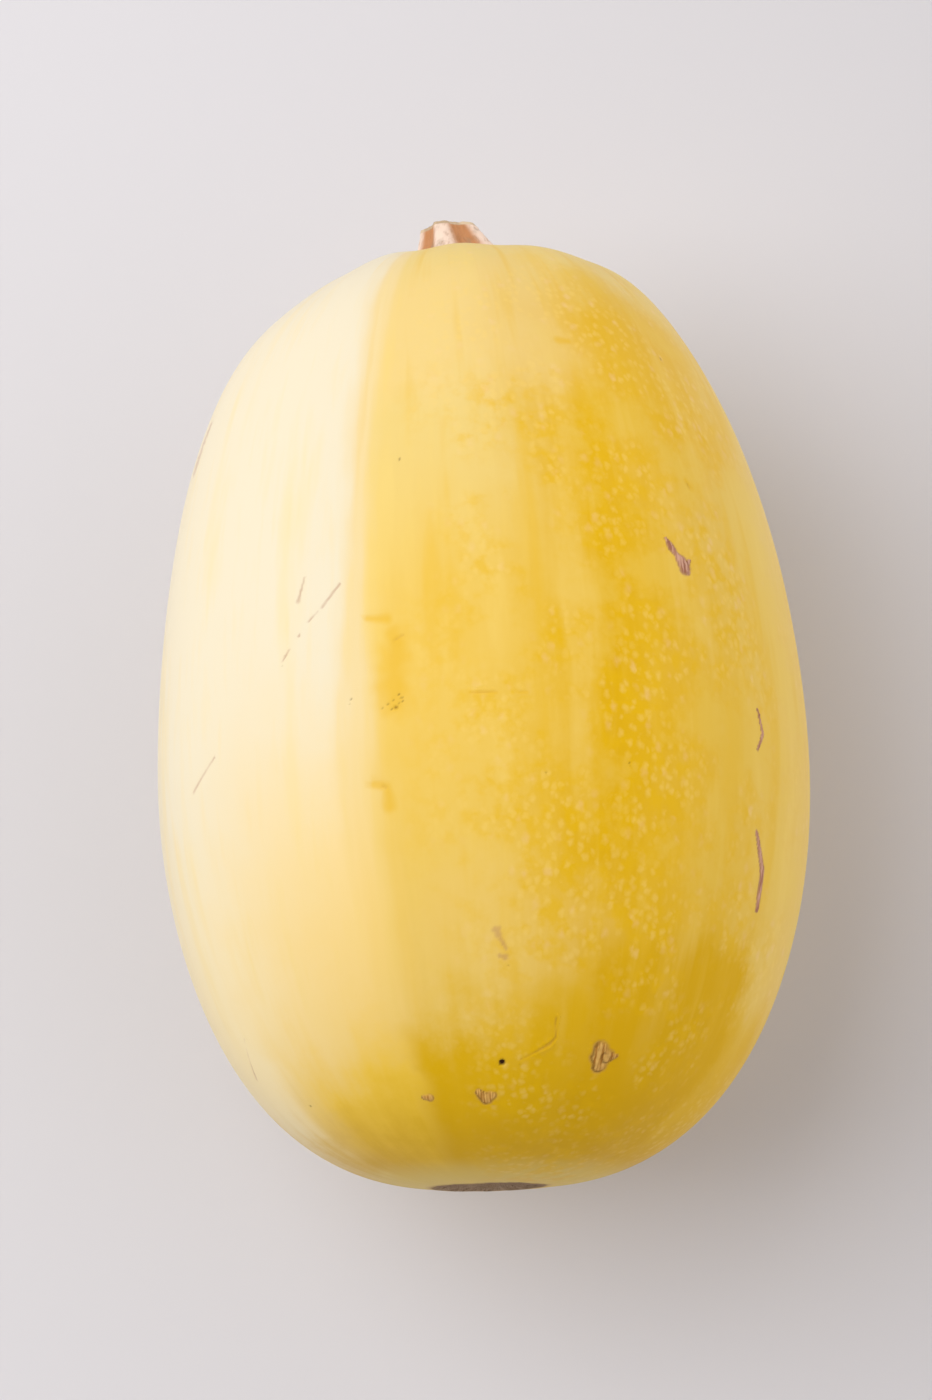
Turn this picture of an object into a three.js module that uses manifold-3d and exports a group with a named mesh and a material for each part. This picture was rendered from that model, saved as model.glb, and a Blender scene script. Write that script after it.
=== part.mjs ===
// A whole spaghetti squash, picked and lying on its side: one fruit, and the stub of its cut stem.
// Millimetres, +Z up. The fruit's long axis runs along Y, with the stem at +Y and the blossom scar at -Y.
// The origin is on the resting surface, under the middle of the whole squash.
import * as THREE from "three";
import { mergeVertices } from "three/addons/utils/BufferGeometryUtils.js";
import Module from "manifold-3d";

const wasm = await Module();
wasm.setup();

const { degToRad, lerp } = THREE.MathUtils;

// Driving dimensions of the fruit. Y is measured from its widest section.
const FRUIT_WIDTH = 148;
const FRUIT_HEIGHT = 145;
const STEM_REACH = 121.8; // from the widest section to the stem's pole, before the dip is pressed in
const BLOSSOM_REACH = 92.6;
const STEM_DIP = { depth: 1.6, radius: 14 };
const BLOSSOM_DIP = { depth: 0.8, radius: 11 };

// Each end is a superellipse, along ** a + across ** b = 1. An ellipse has 2 and 2: a larger b is a blunter end.
const STEM_END = { a: 1.88, b: 3.18 };
const BLOSSOM_END = { a: 1.96, b: 2.76 };

// The rind swells in ten shallow lobes, which deepen towards the ends.
const LOBES = 10;
const LOBE_TURN = degToRad(3); // where a lobe's crest stands, from +Z towards +X
const LOBE_DEPTH = 0.0045; // share of the radius at the widest section
const LOBE_DEPTH_AT_ENDS = 0.018;

// No squash grows quite straight: the stem's pole leans to -X, and the shoulder is fuller on the +X side.
const POLE_DRIFT = -2.6;
const SHOULDER = { rise: 2.9, radius: 41, width: 12.6 };

// The attitude in which it balances: the blossom end rides up a little, and a worn flat meets the surface.
const REST_TILT = degToRad(2.4);
const FLAT_DEPTH = 1.5;

// The stem stub, five-angled as in every squash of this species, and cut off square.
const STEM_ANGLES = 5;
const STEM_TIP_RADIUS = 6.1;
const STEM_BASE_RADIUS = 16;
const STEM_FLARE = 1.05; // 1 is a plain cone, and more flares only near the fruit
const STEM_FLUTE = 0.12; // share of the radius between a ridge and a furrow
const STEM_LENGTH = 13; // from the fruit's pole to the cut
const STEM_ROOT = 8; // how far the stub's shape runs on below the pole, before the fruit is cut from it
const STEM_TURN = degToRad(-22); // where the first ridge stands, from +Z towards +X
const STEM_OFFSET = 0.6;
const STEM_LEAN = degToRad(16);
const JOINT_GAP = 0.3; // between the stem and the fruit, so that the two solids stay apart

// Fineness of the solids.
const FRUIT_SIDES = 60;
const FRUIT_ROWS = 44;
const STEM_SIDES = 40;
const STEM_ROWS = 8;

// A closed three.js geometry as a manifold-3d solid, and back.
function toSolid(geometry) {
  const bare = geometry.clone();
  bare.deleteAttribute("normal");
  bare.deleteAttribute("uv");
  const merged = mergeVertices(bare, 1e-4);
  return new wasm.Manifold(
    new wasm.Mesh({
      numProp: 3,
      vertProperties: new Float32Array(merged.attributes.position.array),
      triVerts: new Uint32Array(merged.index.array),
    }),
  );
}

function toGeometry(solid) {
  const mesh = solid.getMesh();
  const geometry = new THREE.BufferGeometry();
  geometry.setAttribute("position", new THREE.BufferAttribute(new Float32Array(mesh.vertProperties), 3));
  geometry.setIndex(new THREE.BufferAttribute(new Uint32Array(mesh.triVerts), 1));
  geometry.computeVertexNormals();
  return geometry;
}

// A Gaussian hump of height 1, for the dips at the poles and the swelling of the shoulder.
function hump(distance, width) {
  return Math.exp(-((distance / width) ** 2));
}

// One point of the fruit's outline, at an angle from the blossom pole (0) to the stem pole (PI).
// The outline swells by grow millimetres.
function outlinePoint(angle, grow) {
  const along = -Math.cos(angle);
  const stemEnd = along > 0;
  const reach = (stemEnd ? STEM_REACH : BLOSSOM_REACH) + grow;
  const { a, b } = stemEnd ? STEM_END : BLOSSOM_END;
  const { depth, radius } = stemEnd ? STEM_DIP : BLOSSOM_DIP;
  const across = Math.max(0, 1 - Math.abs(along) ** a) ** (1 / b);
  const distance = across * (FRUIT_WIDTH / 2 + grow);
  return new THREE.Vector2(distance, reach * along - Math.sign(along) * depth * hump(distance, radius));
}

// Turns the outline round Y, then swells the lobes and the shoulder and lets the pole drift.
function fruitGeometry(grow = 0) {
  const outline = Array.from({ length: FRUIT_ROWS + 1 }, (_, row) =>
    outlinePoint((row / FRUIT_ROWS) * Math.PI, grow),
  );
  outline[0].x = 0;
  outline[FRUIT_ROWS].x = 0;
  const geometry = new THREE.LatheGeometry(outline, FRUIT_SIDES);
  const place = geometry.attributes.position;
  for (let i = 0; i < place.count; i++) {
    const around = Math.atan2(place.getX(i), place.getZ(i));
    const distance = Math.hypot(place.getX(i), place.getZ(i));
    const along = place.getY(i);
    const towardsPole = 1 - distance / (FRUIT_WIDTH / 2 + grow);
    const depth = lerp(LOBE_DEPTH, LOBE_DEPTH_AT_ENDS, towardsPole);
    const lobe = 1 + depth * Math.cos(LOBES * (around - LOBE_TURN));
    const stemSide = Math.max(0, along / STEM_REACH);
    const swell = stemSide > 0 ? SHOULDER.rise * hump(distance - SHOULDER.radius, SHOULDER.width) : 0;
    place.setXYZ(
      i,
      place.getX(i) * lobe + POLE_DRIFT * stemSide ** 2,
      along + swell * Math.sin(around),
      place.getZ(i) * lobe * (FRUIT_HEIGHT / FRUIT_WIDTH),
    );
  }
  return geometry.rotateX(-REST_TILT);
}

// The stub: a fluted taper that flares where it meets the shoulder.
function stemGeometry() {
  const pole = STEM_REACH - STEM_DIP.depth;
  const outline = Array.from({ length: STEM_ROWS + 1 }, (_, row) => {
    const up = row / STEM_ROWS;
    const radius = lerp(STEM_TIP_RADIUS, STEM_BASE_RADIUS, (1 - up) ** STEM_FLARE);
    return new THREE.Vector2(radius, pole + lerp(-STEM_ROOT, STEM_LENGTH, up));
  });
  outline.unshift(new THREE.Vector2(0, pole - STEM_ROOT));
  outline.push(new THREE.Vector2(0, pole + STEM_LENGTH));
  const geometry = new THREE.LatheGeometry(outline, STEM_SIDES);
  const place = geometry.attributes.position;
  for (let i = 0; i < place.count; i++) {
    const around = Math.atan2(place.getX(i), place.getZ(i));
    const flute = 1 + STEM_FLUTE * Math.cos(STEM_ANGLES * (around - STEM_TURN));
    const lean = -(place.getY(i) - pole) * Math.tan(STEM_LEAN);
    place.setXYZ(i, place.getX(i) * flute + STEM_OFFSET + lean, place.getY(i), place.getZ(i) * flute);
  }
  return geometry.rotateX(-REST_TILT);
}

// The surface that the squash lies on, as a block whose top is at a given height.
function groundSolid(top) {
  const size = 4 * STEM_REACH;
  return toSolid(new THREE.BoxGeometry(size, size, size).translate(0, 0, top - size / 2));
}

const fruitWhole = toSolid(fruitGeometry());
const ground = groundSolid(fruitWhole.boundingBox().min[2] + FLAT_DEPTH);
const fruitSolid = fruitWhole.subtract(ground);
const stemSolid = toSolid(stemGeometry()).subtract(toSolid(fruitGeometry(JOINT_GAP)));

const rind = new THREE.MeshStandardMaterial({ color: 0xedc85a, roughness: 0.5, metalness: 0 });
const cork = new THREE.MeshStandardMaterial({ color: 0xc79a6b, roughness: 0.85, metalness: 0 });

const fruit = new THREE.Mesh(toGeometry(fruitSolid), rind);
fruit.name = "fruit";

const stem = new THREE.Mesh(toGeometry(stemSolid), cork);
stem.name = "stem";

const squash = new THREE.Group();
squash.add(fruit, stem);

// The middle of the whole squash stands over the origin, with the worn flat at height zero.
const box = new THREE.Box3().setFromObject(squash);
const centre = box.getCenter(new THREE.Vector3());
squash.position.set(-centre.x, -centre.y, -box.min.z);

export default squash;
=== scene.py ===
# %% [markdown]
# # A whole spaghetti squash
# The fruit lies on its side with the stub of its stem at +Y and the scar of its blossom at -Y.
# The solid model is loaded first. It fixes the size and place of everything that is made here.

# %% Load the solid model
import math
import random

import bmesh
import bpy
import numpy as np
from mathutils import Matrix, Vector, noise
from mathutils.bvhtree import BVHTree


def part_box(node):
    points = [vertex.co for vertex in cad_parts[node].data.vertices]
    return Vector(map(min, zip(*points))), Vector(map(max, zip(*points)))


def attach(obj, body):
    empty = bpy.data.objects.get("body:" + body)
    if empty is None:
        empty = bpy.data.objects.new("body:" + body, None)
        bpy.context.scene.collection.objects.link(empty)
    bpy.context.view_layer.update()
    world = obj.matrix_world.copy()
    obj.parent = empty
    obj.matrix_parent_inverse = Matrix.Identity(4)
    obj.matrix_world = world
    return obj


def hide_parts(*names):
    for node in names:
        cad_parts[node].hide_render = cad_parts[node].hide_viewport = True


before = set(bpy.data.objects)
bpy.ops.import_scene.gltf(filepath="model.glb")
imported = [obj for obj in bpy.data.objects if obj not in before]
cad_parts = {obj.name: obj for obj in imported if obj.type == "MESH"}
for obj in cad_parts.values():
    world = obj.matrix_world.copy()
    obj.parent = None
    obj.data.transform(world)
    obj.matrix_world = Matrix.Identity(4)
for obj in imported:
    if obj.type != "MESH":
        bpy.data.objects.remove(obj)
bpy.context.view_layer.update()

MM = 0.001
fruit_low, fruit_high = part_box("fruit")
print("fruit solid, mm:", [round(size / MM, 1) for size in fruit_high - fruit_low])

# %% [markdown]
# ## Camera
# The squash is seen from above and a little from the blossom end, with its length up the picture.
# A long lens keeps the two ends at the same scale. The camera is also turned by two degrees about
# its own line of sight, so the squash leans slightly to the left at the top.

# %% Make the camera
ELEVATION = math.radians(79.5)
ROLL = math.radians(2.0)
DISTANCE = 753 * MM
AIM_OFFSET = Vector((-3.2, 18.2)) * MM  # right and up in the picture, from the axis at the widest section


def aim(thing, backward, target, distance, roll=0.0):
    """Puts a camera or a light at a distance from a target, looking back at it along a direction."""
    backward = backward.normalized()
    right = Vector((0, 0, 1)).cross(backward).normalized()
    up = backward.cross(right)
    turned_right = right * math.cos(roll) - up * math.sin(roll)
    turned_up = right * math.sin(roll) + up * math.cos(roll)
    thing.matrix_world = Matrix.Translation(target + backward * distance) @ (
        Matrix((turned_right, turned_up, backward)).transposed().to_4x4()
    )


# %% [markdown]
# ## The rind
# A squash is a body of revolution that grew unevenly. Its outline is two superellipses that meet at
# the widest section: a long one towards the stem, and a short blunt one towards the blossom.
# It could be sculpted, but the shape follows a rule, so Geometry Nodes draw the outline as a curve
# and turn it round the axis. The rule then adds what growth adds: ten shallow lobes, a fuller
# shoulder on one side, and puckers round the stem.

# %% One function adds a node
MATH = "ShaderNodeMath"
MIX = "ShaderNodeMix"


def add(tree, kind, inputs=(), out=0, **settings):
    """Adds a node, sets its properties, links or fills its inputs, and returns one of its outputs."""
    node = tree.nodes.new(kind)
    for name, value in settings.items():
        setattr(node, name, value)
    for key, value in (inputs if isinstance(inputs, dict) else dict(enumerate(inputs))).items():
        if isinstance(value, bpy.types.NodeSocket):
            tree.links.new(value, node.inputs[key])
        else:
            node.inputs[key].default_value = value
    return node.outputs[out]


# %% Sizes of the rind, in metres
rind_sizes = {
    "Width": 0.148,
    "Height": 0.145,
    "Stem Reach": 0.1218,
    "Stem Along": 1.88,
    "Stem Across": 3.18,
    "Stem Dip": 0.0016,
    "Stem Dip Radius": 0.014,
    "Blossom Reach": 0.0926,
    "Blossom Along": 1.96,
    "Blossom Across": 2.76,
    "Blossom Dip": 0.0008,
    "Blossom Dip Radius": 0.011,
    "Lobes": 10.0,
    "Lobe Turn": math.radians(3),
    "Lobe Depth": 0.0045,
    "Lobe Depth At Ends": 0.018,
    "Pole Drift": -0.0026,
    "Shoulder Rise": 0.0029,
    "Shoulder Radius": 0.041,
    "Shoulder Width": 0.0126,
    "Pucker": 0.0005,
    "Pucker Radius": 0.017,
    "Wave": 0.0045,
    "Sides": 288,
    "Rows": 200,
}
REST_TILT = math.radians(2.4)
OUTLINE_POINTS = 1200


def new_tree(name, sizes):
    """A geometry tree with one geometry output and one named input for each size."""
    tree = bpy.data.node_groups.new(name, "GeometryNodeTree")
    tree.interface.new_socket("Geometry", in_out="OUTPUT", socket_type="NodeSocketGeometry")
    for label, value in sizes.items():
        kind = "NodeSocketInt" if isinstance(value, int) else "NodeSocketFloat"
        tree.interface.new_socket(label, in_out="INPUT", socket_type=kind)
    return tree, tree.nodes.new("NodeGroupInput").outputs


# %% Draw the outline: distance from the axis as X, place along the axis as Y
rind, size = new_tree("Rind", rind_sizes)
index = add(rind, "GeometryNodeInputIndex")
sweep = add(rind, MATH, (index, math.pi / OUTLINE_POINTS), operation="MULTIPLY")
cosine = add(rind, MATH, (sweep,), operation="COSINE")
along = add(rind, MATH, (cosine, -1.0), operation="MULTIPLY")
stem_end = add(rind, MATH, (along, 0.0), operation="GREATER_THAN")
end = {
    label: add(rind, MIX, {0: stem_end, 2: size["Blossom " + label], 3: size["Stem " + label]})
    for label in ("Reach", "Along", "Across", "Dip", "Dip Radius")
}
far = add(rind, MATH, (along,), operation="ABSOLUTE")
taken = add(rind, MATH, (far, end["Along"]), operation="POWER")
left = add(rind, MATH, (1.0, taken), operation="SUBTRACT", use_clamp=True)
root = add(rind, MATH, (1.0, end["Across"]), operation="DIVIDE")
across = add(rind, MATH, (left, root), operation="POWER")
half_width = add(rind, MATH, (size["Width"], 0.5), operation="MULTIPLY")
outline_x = add(rind, MATH, (across, half_width), operation="MULTIPLY")
nearness = add(rind, MATH, (outline_x, end["Dip Radius"]), operation="DIVIDE")
squared = add(rind, MATH, (nearness, nearness), operation="MULTIPLY")
negative = add(rind, MATH, (squared, -1.0), operation="MULTIPLY")
hump = add(rind, MATH, (negative,), operation="EXPONENT")
dip = add(rind, MATH, (end["Dip"], hump), operation="MULTIPLY")
reach = add(rind, MATH, (far, end["Reach"]), operation="MULTIPLY")
pressed = add(rind, MATH, (reach, dip), operation="SUBTRACT")
sign = add(rind, MATH, (along,), operation="SIGN")
outline_y = add(rind, MATH, (pressed, sign), operation="MULTIPLY")
outline_point = add(rind, "ShaderNodeCombineXYZ", (outline_x, outline_y, 0.0))
line = add(rind, "GeometryNodeCurvePrimitiveLine")
points = add(rind, "GeometryNodeResampleCurve", {"Curve": line, "Count": OUTLINE_POINTS + 1})
outline = add(rind, "GeometryNodeSetPosition", {"Geometry": points, "Position": outline_point})

# %% Turn the outline round the axis
columns = add(rind, MATH, (size["Sides"], 1.0), operation="ADD")
rows = add(rind, MATH, (size["Rows"], 1.0), operation="ADD")
grid = add(
    rind,
    "GeometryNodeMeshGrid",
    {"Size X": 1.0, "Size Y": 1.0, "Vertices X": columns, "Vertices Y": rows},
)
place = add(rind, "GeometryNodeInputPosition")
grid_x = add(rind, "ShaderNodeSeparateXYZ", (place,))
grid_y = grid_x.node.outputs["Y"]
around = add(rind, MATH, (grid_x, 2 * math.pi), operation="MULTIPLY")
share = add(rind, MATH, (grid_y, 0.5), operation="ADD", use_clamp=True)
sample = add(rind, "GeometryNodeSampleCurve", {"Curves": outline, "Factor": share}, out="Position")
distance = add(rind, "ShaderNodeSeparateXYZ", (sample,))
station = distance.node.outputs["Y"]
sine = add(rind, MATH, (around,), operation="SINE")
cosine = add(rind, MATH, (around,), operation="COSINE")

# %% Lobes that deepen towards the ends, and wander a little as they run
lengthwise = add(rind, MATH, (station, 9.0), operation="MULTIPLY")
direction = add(rind, "ShaderNodeCombineXYZ", (sine, lengthwise, cosine))
drift_noise = add(rind, "ShaderNodeTexNoise", {"Vector": direction, "Scale": 0.9, "Detail": 0.0})
centred = add(rind, MATH, (drift_noise, -0.5), operation="ADD")
wander = add(rind, MATH, (centred, 0.35), operation="MULTIPLY")
turned = add(rind, MATH, (around, size["Lobe Turn"]), operation="SUBTRACT")
wandering = add(rind, MATH, (turned, wander), operation="ADD")
phase = add(rind, MATH, (wandering, size["Lobes"]), operation="MULTIPLY")
crest = add(rind, MATH, (phase,), operation="COSINE")
share_out = add(rind, MATH, (distance, half_width), operation="DIVIDE")
to_pole = add(rind, MATH, (1.0, share_out), operation="SUBTRACT", use_clamp=True)
lobe_depth = add(rind, MIX, {0: to_pole, 2: size["Lobe Depth"], 3: size["Lobe Depth At Ends"]})
lobe = add(rind, MATH, (crest, lobe_depth), operation="MULTIPLY")
wave_noise = add(rind, "ShaderNodeTexNoise", {"Vector": direction, "Scale": 2.6, "Detail": 1.0})
wave_centred = add(rind, MATH, (wave_noise, -0.5), operation="ADD")
wave = add(rind, MATH, (wave_centred, size["Wave"]), operation="MULTIPLY")
swollen = add(rind, MATH, (lobe, wave), operation="ADD")
factor = add(rind, MATH, (swollen, 1.0), operation="ADD")
radius = add(rind, MATH, (distance, factor), operation="MULTIPLY")

# %% The drift of the stem's pole, the fuller shoulder, and the puckers round the stem
stem_share = add(rind, MATH, (station, size["Stem Reach"]), operation="DIVIDE", use_clamp=True)
stem_share_2 = add(rind, MATH, (stem_share, stem_share), operation="MULTIPLY")
pole_drift = add(rind, MATH, (stem_share_2, size["Pole Drift"]), operation="MULTIPLY")
stem_side = add(rind, MATH, (station, 0.0), operation="GREATER_THAN")
lift = {}
for label, middle, width in (
    ("Shoulder Rise", "Shoulder Radius", "Shoulder Width"),
    ("Pucker", "Pucker Radius", "Shoulder Width"),
):
    offset = add(rind, MATH, (distance, size[middle]), operation="SUBTRACT")
    spread = add(rind, MATH, (offset, size[width]), operation="DIVIDE")
    spread_2 = add(rind, MATH, (spread, spread), operation="MULTIPLY")
    falling = add(rind, MATH, (spread_2, -1.0), operation="MULTIPLY")
    hump = add(rind, MATH, (falling,), operation="EXPONENT")
    high = add(rind, MATH, (hump, size[label]), operation="MULTIPLY")
    lift[label] = add(rind, MATH, (high, stem_side), operation="MULTIPLY")
shoulder = add(rind, MATH, (lift["Shoulder Rise"], sine), operation="MULTIPLY")
pucker = add(rind, MATH, (lift["Pucker"], crest), operation="MULTIPLY")
lifted = add(rind, MATH, (shoulder, pucker), operation="ADD")
sideways = add(rind, MATH, (radius, sine), operation="MULTIPLY")
rind_x = add(rind, MATH, (sideways, pole_drift), operation="ADD")
rind_y = add(rind, MATH, (station, lifted), operation="ADD")
flatness = add(rind, MATH, (size["Height"], size["Width"]), operation="DIVIDE")
round_z = add(rind, MATH, (radius, cosine), operation="MULTIPLY")
rind_z = add(rind, MATH, (round_z, flatness), operation="MULTIPLY")
rind_point = add(rind, "ShaderNodeCombineXYZ", (rind_x, rind_y, rind_z))

# %% Keep where each point is along and around the fruit, then close the seam and the poles
skin = grid
for label, value in (("station", station), ("side", sine), ("top", cosine)):
    skin = add(
        rind,
        "GeometryNodeStoreNamedAttribute",
        {"Geometry": skin, "Name": label, "Value": value},
        data_type="FLOAT",
        domain="POINT",
    )
skin = add(rind, "GeometryNodeSetPosition", {"Geometry": skin, "Position": rind_point})
skin = add(rind, "GeometryNodeMergeByDistance", {"Geometry": skin, "Distance": 0.01 * MM})
skin = add(rind, "GeometryNodeSetShadeSmooth", {"Geometry": skin})
skin = add(rind, "GeometryNodeRealizeInstances", {"Geometry": skin})


def finish_tree(tree, geometry, material):
    """Ends a tree with its material."""
    painted = add(tree, "GeometryNodeSetMaterial", {"Geometry": geometry, "Material": material})
    tree.links.new(painted, tree.nodes.new("NodeGroupOutput").inputs["Geometry"])


def grow(name, tree, sizes):
    """Runs a tree once and returns its result as a plain mesh object."""
    piece = bpy.data.objects.new(name, bpy.data.meshes.new(name))
    bpy.context.collection.objects.link(piece)
    modifier = piece.modifiers.new("Grow", "NODES")
    modifier.node_group = tree
    for item in tree.interface.items_tree:
        if item.in_out == "INPUT":
            modifier[item.identifier] = sizes[item.name]
    bpy.context.view_layer.update()
    evaluated = piece.evaluated_get(bpy.context.evaluated_depsgraph_get())
    mesh = bpy.data.meshes.new_from_object(evaluated)
    piece.modifiers.clear()
    piece.data = mesh
    mesh.name = name
    return piece


rind_material = bpy.data.materials.new("Waxy rind of a ripe squash")
finish_tree(rind, skin, rind_material)
squash = grow("squash_rind", rind, rind_sizes)
print("rind:", len(squash.data.vertices), "points")

# %% [markdown]
# ## Laying it down
# The fruit rests with its heavy blossom end a little up, on the small flat that its weight has worn.
# The finished mesh is turned and moved as a whole, so that the object itself stays at the origin.

# %% Turn the rind to its attitude of rest, and press the flat


def positions(mesh):
    """The mesh's points as an array of rows."""
    flat = np.empty(len(mesh.vertices) * 3)
    mesh.vertices.foreach_get("co", flat)
    return flat.reshape(-1, 3)


tilt = Matrix.Rotation(-REST_TILT, 4, "X")
squash.data.transform(tilt)
placed = positions(squash.data)
low, high = placed.min(axis=0), placed.max(axis=0)
shift = Vector((
    (fruit_low.x + fruit_high.x - low[0] - high[0]) / 2,
    fruit_low.y - low[1],
    fruit_high.z - high[2],
))
from_fruit = Matrix.Translation(shift) @ tilt
squash.data.transform(Matrix.Translation(shift))
placed = positions(squash.data)
softness = 0.3 * MM
placed[:, 2] = (placed[:, 2] + np.sqrt(placed[:, 2] ** 2 + softness**2)) / 2
squash.data.vertices.foreach_set("co", placed.ravel())
print("shift, mm:", [round(value / MM, 2) for value in shift])

# %% Aim the camera
camera_data = bpy.data.cameras.new("Camera")
camera_data.lens = 85
camera_data.sensor_width = 36
camera = bpy.data.objects.new("Camera", camera_data)
bpy.context.collection.objects.link(camera)
bpy.context.scene.camera = camera
backward = Vector((0, -math.cos(ELEVATION), math.sin(ELEVATION)))
picture_up = Vector((0, math.sin(ELEVATION), math.cos(ELEVATION)))
target = shift + Vector((AIM_OFFSET.x, 0, 0)) + picture_up * AIM_OFFSET.y
aim(camera, backward, target, DISTANCE, ROLL)

# %% [markdown]
# ## Light and floor
# The fruit lies in a pale room, lit by daylight from the left. Two soft lamps a metre wide stand for
# the window: one low and one high, so that the shadow falls to the right and fades over a few
# centimetres. The world is a dim grey with three bright walls: one on the right, which faces the
# window and sends most light back, one beyond the stem, and a weaker one on the blossom side. Such
# broad light keeps the shaded side of a smooth round thing readable, where lamps alone would leave
# it black.

# %% Make the floor, the world and the lights


def linear(code):
    """A colour written as sRGB hex, as linear red, green, blue and alpha."""
    parts = [int(code[i : i + 2], 16) / 255 for i in (1, 3, 5)]
    return [p / 12.92 if p <= 0.04045 else ((p + 0.055) / 1.055) ** 2.4 for p in parts] + [1.0]


def new_material(name):
    """A material with an empty tree, and its surface node."""
    material = bpy.data.materials.get(name) or bpy.data.materials.new(name)
    material.use_nodes = True
    material.node_tree.nodes.clear()
    surface = material.node_tree.nodes.new("ShaderNodeBsdfPrincipled")
    output = material.node_tree.nodes.new("ShaderNodeOutputMaterial")
    material.node_tree.links.new(surface.outputs[0], output.inputs["Surface"])
    return material, material.node_tree, surface


# The floor is uncoated paper: pressed fibre that scatters light evenly, and mirrors almost none of it.
FLOOR_SIZE = 60.0
FLOOR_GAP = 0.2 * MM
paper, _, paper_surface = new_material("Matte white paper")
paper_surface.inputs["Base Color"].default_value = linear("#D8D5D8")
paper_surface.inputs["Roughness"].default_value = 0.9
bpy.ops.mesh.primitive_plane_add(size=FLOOR_SIZE, location=(0, 0, -FLOOR_GAP))
floor = bpy.context.object
floor.name = "floor"
floor.data.materials.append(paper)

world = bpy.data.worlds.new("Pale room")
bpy.context.scene.world = world
world.use_nodes = True
room = world.node_tree
backdrop = room.nodes["Background"]
backdrop.inputs["Color"].default_value = linear("#FDFBFB")
room_way = add(room, "ShaderNodeTexCoord", out="Generated")
glow = 0.09
for wall, power in (((1, 0, 0), 1.98), ((0, 1, 0), 0.94), ((0, -1, 0), 0.38)):
    facing = add(
        room, "ShaderNodeVectorMath", {0: room_way, 1: wall}, out="Value", operation="DOT_PRODUCT"
    )
    facing = add(room, MATH, (facing, 0.0), operation="MAXIMUM")
    facing = add(room, MATH, (facing, 2.0), operation="POWER")
    glow = add(room, MATH, (facing, power, glow), operation="MULTIPLY_ADD")
room.links.new(glow, backdrop.inputs["Strength"])

lamps = (("Window", (-0.85, 0.1, 0.5), 4.8), ("Skylight", (-0.6, 0.2, 1.0), 9.7))
for name, way, power in lamps:
    light = bpy.data.lights.new(name, "AREA")
    light.size = 1.0
    light.energy = power
    lamp = bpy.data.objects.new(name, light)
    bpy.context.collection.objects.link(lamp)
    aim(lamp, Vector(way), Vector((0, 0, 0.07)), 1.2)
bpy.context.scene.view_settings.view_transform = "Standard"

# %% [markdown]
# ## Marks on the rind
# A field-grown squash carries scratches that healed as cork, bruises, pinpricks and dents.
# Each mark is a stroke: points along the fruit and around it, with a width at each.
# They could be painted only, but cork stands proud and catches the light, so the mesh is first
# cut finer near the strokes, and each stroke then lifts or sinks it and leaves its own attribute.

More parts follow.
